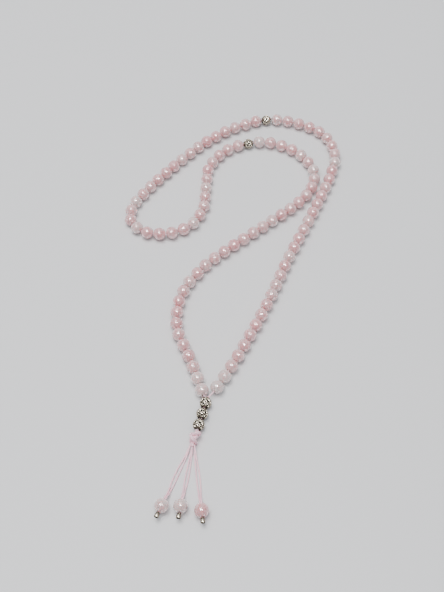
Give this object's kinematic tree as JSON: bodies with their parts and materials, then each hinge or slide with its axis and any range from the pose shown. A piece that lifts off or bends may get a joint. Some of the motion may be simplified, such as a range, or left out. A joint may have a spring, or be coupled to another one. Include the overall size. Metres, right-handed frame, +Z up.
{
  "type": "strand of prayer beads",
  "caption": "Loop of round rose quartz prayer beads strung on one cord, parted into equal sections by silver beads, with a silver head, a knot and short beaded tails.",
  "frame": {"origin": "centre of the bounding box in plan, on the surface that the strand lies on", "axes": "+Z up from the surface, +Y from the tails towards the far end of the loop, +X to the right"},
  "size_m": [0.1453, 0.3027, 0.008],
  "materials": {
    "rose_quartz": "polished, milky and slightly translucent",
    "silver": "antique silver, bright on the raised parts and dark in the hollows",
    "cord": "satin braided cord"
  },
  "bodies": {
    "cord_and_knot": {"loop_cord": "cord", "knot": "cord"},
    "tail_left": {"tail_cord_left": "cord", "tail_end_left": "silver"},
    "tail_middle": {"tail_cord_middle": "cord", "tail_end_middle": "silver"},
    "tail_right": {"tail_cord_right": "cord", "tail_end_right": "silver"},
    "tail_bead_left": {"tail_bead_left": "rose_quartz"},
    "tail_bead_middle": {"tail_bead_middle": "rose_quartz"},
    "tail_bead_right": {"tail_bead_right": "rose_quartz"},
    "silver_head_upper": {"silver_head_upper": "silver"},
    "silver_head_middle": {"silver_head_middle": "silver"},
    "silver_head_lower": {"silver_head_lower": "silver"},
    "silver_divider_1": {"silver_divider_1": "silver"},
    "silver_divider_2": {"silver_divider_2": "silver"},
    "beads_01_03": {"beads_01_03": "rose_quartz"},
    "beads_04_06": {"beads_04_06": "rose_quartz"},
    "beads_07_08": {"beads_07_08": "rose_quartz"},
    "beads_09_10": {"beads_09_10": "rose_quartz"},
    "beads_11_13": {"beads_11_13": "rose_quartz"},
    "beads_14_16": {"beads_14_16": "rose_quartz"},
    "beads_17_19": {"beads_17_19": "rose_quartz"},
    "beads_20_22": {"beads_20_22": "rose_quartz"},
    "beads_23_24": {"beads_23_24": "rose_quartz"},
    "beads_25_26": {"beads_25_26": "rose_quartz"},
    "beads_27_28": {"beads_27_28": "rose_quartz"},
    "beads_29_30": {"beads_29_30": "rose_quartz"},
    "beads_31_32": {"beads_31_32": "rose_quartz"},
    "bead_33": {"bead_33": "rose_quartz"},
    "beads_34_35": {"beads_34_35": "rose_quartz"},
    "beads_36_37": {"beads_36_37": "rose_quartz"},
    "beads_38_40": {"beads_38_40": "rose_quartz"},
    "beads_41_42": {"beads_41_42": "rose_quartz"},
    "beads_43_44": {"beads_43_44": "rose_quartz"},
    "beads_45_46": {"beads_45_46": "rose_quartz"},
    "bead_47": {"bead_47": "rose_quartz"},
    "bead_48": {"bead_48": "rose_quartz"},
    "bead_49": {"bead_49": "rose_quartz"},
    "bead_50": {"bead_50": "rose_quartz"},
    "bead_51": {"bead_51": "rose_quartz"},
    "beads_52_54": {"beads_52_54": "rose_quartz"},
    "beads_55_57": {"beads_55_57": "rose_quartz"},
    "beads_58_60": {"beads_58_60": "rose_quartz"},
    "beads_61_63": {"beads_61_63": "rose_quartz"},
    "beads_64_66": {"beads_64_66": "rose_quartz"},
    "beads_67_68": {"beads_67_68": "rose_quartz"},
    "beads_69_70": {"beads_69_70": "rose_quartz"},
    "bead_71": {"bead_71": "rose_quartz"},
    "beads_72_73": {"beads_72_73": "rose_quartz"},
    "bead_74": {"bead_74": "rose_quartz"},
    "beads_75_77": {"beads_75_77": "rose_quartz"},
    "beads_78_80": {"beads_78_80": "rose_quartz"},
    "beads_81_83": {"beads_81_83": "rose_quartz"},
    "beads_84_86": {"beads_84_86": "rose_quartz"},
    "beads_87_89": {"beads_87_89": "rose_quartz"},
    "beads_90_92": {"beads_90_92": "rose_quartz"},
    "beads_93_95": {"beads_93_95": "rose_quartz"},
    "beads_96_98": {"beads_96_98": "rose_quartz"},
    "bead_99": {"bead_99": "rose_quartz"}
  },
  "joints": [
    {"name": "tail_left_swing", "type": "hinge", "parent": "cord_and_knot", "child": "tail_left", "pos_m": [-0.02618, -0.1068, 0], "axis": [0, 0, 1], "range_deg": [-50, 1]},
    {"name": "tail_middle_swing", "type": "hinge", "parent": "cord_and_knot", "child": "tail_middle", "pos_m": [-0.02498, -0.10712, 0], "axis": [0, 0, 1], "range_deg": [-1, 3.5]},
    {"name": "tail_right_swing", "type": "hinge", "parent": "cord_and_knot", "child": "tail_right", "pos_m": [-0.02377, -0.10744, 0], "axis": [0, 0, 1], "range_deg": [-3.5, 50]},
    {"name": "tail_bead_left_spin", "type": "hinge", "parent": "tail_left", "child": "tail_bead_left", "pos_m": [-0.04049, -0.14221, 0.004], "axis": [-0.3746, -0.9272, 0], "continuous": true},
    {"name": "tail_bead_middle_spin", "type": "hinge", "parent": "tail_middle", "child": "tail_bead_middle", "pos_m": [-0.03044, -0.1424, 0.004], "axis": [-0.153, -0.9882, 0], "continuous": true},
    {"name": "tail_bead_right_spin", "type": "hinge", "parent": "tail_right", "child": "tail_bead_right", "pos_m": [-0.01937, -0.14489, 0.004], "axis": [0.1167, -0.9932, 0], "continuous": true},
    {"name": "silver_head_upper_spin", "type": "hinge", "parent": "cord_and_knot", "child": "silver_head_upper", "pos_m": [-0.01796, -0.08094, 0.0035], "axis": [0.2588, 0.9659, 0], "continuous": true},
    {"name": "silver_head_middle_spin", "type": "hinge", "parent": "cord_and_knot", "child": "silver_head_middle", "pos_m": [-0.0198, -0.0878, 0.0035], "axis": [0.2588, 0.9659, 0], "continuous": true},
    {"name": "silver_head_lower_spin", "type": "hinge", "parent": "cord_and_knot", "child": "silver_head_lower", "pos_m": [-0.02164, -0.09466, 0.0035], "axis": [0.2588, 0.9659, 0], "continuous": true},
    {"name": "silver_divider_1_spin", "type": "hinge", "parent": "cord_and_knot", "child": "silver_divider_1", "pos_m": [0.00967, 0.12338, 0.0035], "axis": [-0.9787, -0.2055, 0], "continuous": true},
    {"name": "silver_divider_2_spin", "type": "hinge", "parent": "cord_and_knot", "child": "silver_divider_2", "pos_m": [0.02274, 0.14675, 0.0035], "axis": [0.9954, 0.0955, 0], "continuous": true},
    {"name": "beads_01_03_spin", "type": "hinge", "parent": "cord_and_knot", "child": "beads_01_03", "pos_m": [-0.02281, -0.06518, 0.004], "axis": [-0.3245, 0.9459, 0], "continuous": true},
    {"name": "beads_04_06_spin", "type": "hinge", "parent": "cord_and_knot", "child": "beads_04_06", "pos_m": [-0.03135, -0.04259, 0.004], "axis": [-0.3869, 0.9221, 0], "continuous": true},
    {"name": "beads_07_08_spin", "type": "hinge", "parent": "cord_and_knot", "child": "beads_07_08", "pos_m": [-0.03588, -0.0232, 0.004], "axis": [-0.0096, 1, 0], "continuous": true},
    {"name": "beads_09_10_spin", "type": "hinge", "parent": "cord_and_knot", "child": "beads_09_10", "pos_m": [-0.03362, -0.00737, 0.004], "axis": [0.3026, 0.9531, 0], "continuous": true},
    {"name": "beads_11_13_spin", "type": "hinge", "parent": "cord_and_knot", "child": "beads_11_13", "pos_m": [-0.02393, 0.0101, 0.004], "axis": [0.6032, 0.7976, 0], "continuous": true},
    {"name": "beads_14_16_spin", "type": "hinge", "parent": "cord_and_knot", "child": "beads_14_16", "pos_m": [-0.00723, 0.02745, 0.004], "axis": [0.7587, 0.6514, 0], "continuous": true},
    {"name": "beads_17_19_spin", "type": "hinge", "parent": "cord_and_knot", "child": "beads_17_19", "pos_m": [0.01144, 0.04281, 0.004], "axis": [0.7741, 0.633, 0], "continuous": true},
    {"name": "beads_20_22_spin", "type": "hinge", "parent": "cord_and_knot", "child": "beads_20_22", "pos_m": [0.03012, 0.05814, 0.004], "axis": [0.7738, 0.6335, 0], "continuous": true},
    {"name": "beads_23_24_spin", "type": "hinge", "parent": "cord_and_knot", "child": "beads_23_24", "pos_m": [0.04473, 0.07193, 0.004], "axis": [0.6441, 0.7649, 0], "continuous": true},
    {"name": "beads_25_26_spin", "type": "hinge", "parent": "cord_and_knot", "child": "beads_25_26", "pos_m": [0.05238, 0.08588, 0.004], "axis": [0.284, 0.9588, 0], "continuous": true},
    {"name": "beads_27_28_spin", "type": "hinge", "parent": "cord_and_knot", "child": "beads_27_28", "pos_m": [0.05182, 0.10144, 0.004], "axis": [-0.3847, 0.923, 0], "continuous": true},
    {"name": "beads_29_30_spin", "type": "hinge", "parent": "cord_and_knot", "child": "beads_29_30", "pos_m": [0.04265, 0.11441, 0.004], "axis": [-0.7426, 0.6698, 0], "continuous": true},
    {"name": "beads_31_32_spin", "type": "hinge", "parent": "cord_and_knot", "child": "beads_31_32", "pos_m": [0.02892, 0.12249, 0.004], "axis": [-0.9427, 0.3337, 0], "continuous": true},
    {"name": "bead_33_spin", "type": "hinge", "parent": "cord_and_knot", "child": "bead_33", "pos_m": [0.01714, 0.12461, 0.004], "axis": [-0.9958, -0.0914, 0], "continuous": true},
    {"name": "beads_34_35_spin", "type": "hinge", "parent": "cord_and_knot", "child": "beads_34_35", "pos_m": [-0.00104, 0.11905, 0.004], "axis": [-0.8789, -0.477, 0], "continuous": true},
    {"name": "beads_36_37_spin", "type": "hinge", "parent": "cord_and_knot", "child": "beads_36_37", "pos_m": [-0.01276, 0.10836, 0.004], "axis": [-0.57, -0.8216, 0], "continuous": true},
    {"name": "beads_38_40_spin", "type": "hinge", "parent": "cord_and_knot", "child": "beads_38_40", "pos_m": [-0.0188, 0.08962, 0.004], "axis": [-0.071, -0.9975, 0], "continuous": true},
    {"name": "beads_41_42_spin", "type": "hinge", "parent": "cord_and_knot", "child": "beads_41_42", "pos_m": [-0.02019, 0.06954, 0.004], "axis": [-0.0945, -0.9955, 0], "continuous": true},
    {"name": "beads_43_44_spin", "type": "hinge", "parent": "cord_and_knot", "child": "beads_43_44", "pos_m": [-0.02519, 0.05447, 0.004], "axis": [-0.5174, -0.8557, 0], "continuous": true},
    {"name": "beads_45_46_spin", "type": "hinge", "parent": "cord_and_knot", "child": "beads_45_46", "pos_m": [-0.03722, 0.04447, 0.004], "axis": [-0.9262, -0.3771, 0], "continuous": true},
    {"name": "bead_47_spin", "type": "hinge", "parent": "cord_and_knot", "child": "bead_47", "pos_m": [-0.04891, 0.04197, 0.004], "axis": [-0.9993, 0.0384, 0], "continuous": true},
    {"name": "bead_48_spin", "type": "hinge", "parent": "cord_and_knot", "child": "bead_48", "pos_m": [-0.05686, 0.04309, 0.004], "axis": [-0.9482, 0.3177, 0], "continuous": true},
    {"name": "bead_49_spin", "type": "hinge", "parent": "cord_and_knot", "child": "bead_49", "pos_m": [-0.06373, 0.04719, 0.004], "axis": [-0.7567, 0.6538, 0], "continuous": true},
    {"name": "bead_50_spin", "type": "hinge", "parent": "cord_and_knot", "child": "bead_50", "pos_m": [-0.06812, 0.0538, 0.004], "axis": [-0.2329, 0.9725, 0], "continuous": true},
    {"name": "bead_51_spin", "type": "hinge", "parent": "cord_and_knot", "child": "bead_51", "pos_m": [-0.06812, 0.0618, 0.004], "axis": [0.1525, 0.9883, 0], "continuous": true},
    {"name": "beads_52_54_spin", "type": "hinge", "parent": "cord_and_knot", "child": "beads_52_54", "pos_m": [-0.06105, 0.0761, 0.004], "axis": [0.5545, 0.8322, 0], "continuous": true},
    {"name": "beads_55_57_spin", "type": "hinge", "parent": "cord_and_knot", "child": "beads_55_57", "pos_m": [-0.04655, 0.09541, 0.004], "axis": [0.6368, 0.771, 0], "continuous": true},
    {"name": "beads_58_60_spin", "type": "hinge", "parent": "cord_and_knot", "child": "beads_58_60", "pos_m": [-0.03066, 0.11361, 0.004], "axis": [0.6809, 0.7323, 0], "continuous": true},
    {"name": "beads_61_63_spin", "type": "hinge", "parent": "cord_and_knot", "child": "beads_61_63", "pos_m": [-0.01286, 0.12988, 0.004], "axis": [0.799, 0.6013, 0], "continuous": true},
    {"name": "beads_64_66_spin", "type": "hinge", "parent": "cord_and_knot", "child": "beads_64_66", "pos_m": [0.00794, 0.14199, 0.004], "axis": [0.9174, 0.3979, 0], "continuous": true},
    {"name": "beads_67_68_spin", "type": "hinge", "parent": "cord_and_knot", "child": "beads_67_68", "pos_m": [0.03426, 0.14597, 0.004], "axis": [0.982, -0.1889, 0], "continuous": true},
    {"name": "beads_69_70_spin", "type": "hinge", "parent": "cord_and_knot", "child": "beads_69_70", "pos_m": [0.04946, 0.14086, 0.004], "axis": [0.9013, -0.4332, 0], "continuous": true},
    {"name": "bead_71_spin", "type": "hinge", "parent": "cord_and_knot", "child": "bead_71", "pos_m": [0.05971, 0.13455, 0.004], "axis": [0.7742, -0.633, 0], "continuous": true},
    {"name": "beads_72_73_spin", "type": "hinge", "parent": "cord_and_knot", "child": "beads_72_73", "pos_m": [0.06623, 0.12459, 0.004], "axis": [0.3648, -0.9311, 0], "continuous": true},
    {"name": "bead_74_spin", "type": "hinge", "parent": "cord_and_knot", "child": "bead_74", "pos_m": [0.06904, 0.11292, 0.004], "axis": [0.0608, -0.9982, 0], "continuous": true},
    {"name": "beads_75_77_spin", "type": "hinge", "parent": "cord_and_knot", "child": "beads_75_77", "pos_m": [0.06608, 0.09721, 0.004], "axis": [-0.2989, -0.9543, 0], "continuous": true},
    {"name": "beads_78_80_spin", "type": "hinge", "parent": "cord_and_knot", "child": "beads_78_80", "pos_m": [0.05744, 0.07466, 0.004], "axis": [-0.3999, -0.9166, 0], "continuous": true},
    {"name": "beads_81_83_spin", "type": "hinge", "parent": "cord_and_knot", "child": "beads_81_83", "pos_m": [0.04756, 0.05261, 0.004], "axis": [-0.4204, -0.9074, 0], "continuous": true},
    {"name": "beads_84_86_spin", "type": "hinge", "parent": "cord_and_knot", "child": "beads_84_86", "pos_m": [0.03725, 0.03075, 0.004], "axis": [-0.4213, -0.9069, 0], "continuous": true},
    {"name": "beads_87_89_spin", "type": "hinge", "parent": "cord_and_knot", "child": "beads_87_89", "pos_m": [0.02768, 0.00855, 0.004], "axis": [-0.3747, -0.9271, 0], "continuous": true},
    {"name": "beads_90_92_spin", "type": "hinge", "parent": "cord_and_knot", "child": "beads_90_92", "pos_m": [0.01839, -0.01376, 0.004], "axis": [-0.4054, -0.9142, 0], "continuous": true},
    {"name": "beads_93_95_spin", "type": "hinge", "parent": "cord_and_knot", "child": "beads_93_95", "pos_m": [0.00803, -0.03559, 0.004], "axis": [-0.4466, -0.8948, 0], "continuous": true},
    {"name": "beads_96_98_spin", "type": "hinge", "parent": "cord_and_knot", "child": "beads_96_98", "pos_m": [-0.00322, -0.05698, 0.004], "axis": [-0.4921, -0.8705, 0], "continuous": true},
    {"name": "bead_99_spin", "type": "hinge", "parent": "cord_and_knot", "child": "bead_99", "pos_m": [-0.0115, -0.0708, 0.004], "axis": [-0.5191, -0.8547, 0], "continuous": true}
  ]
}
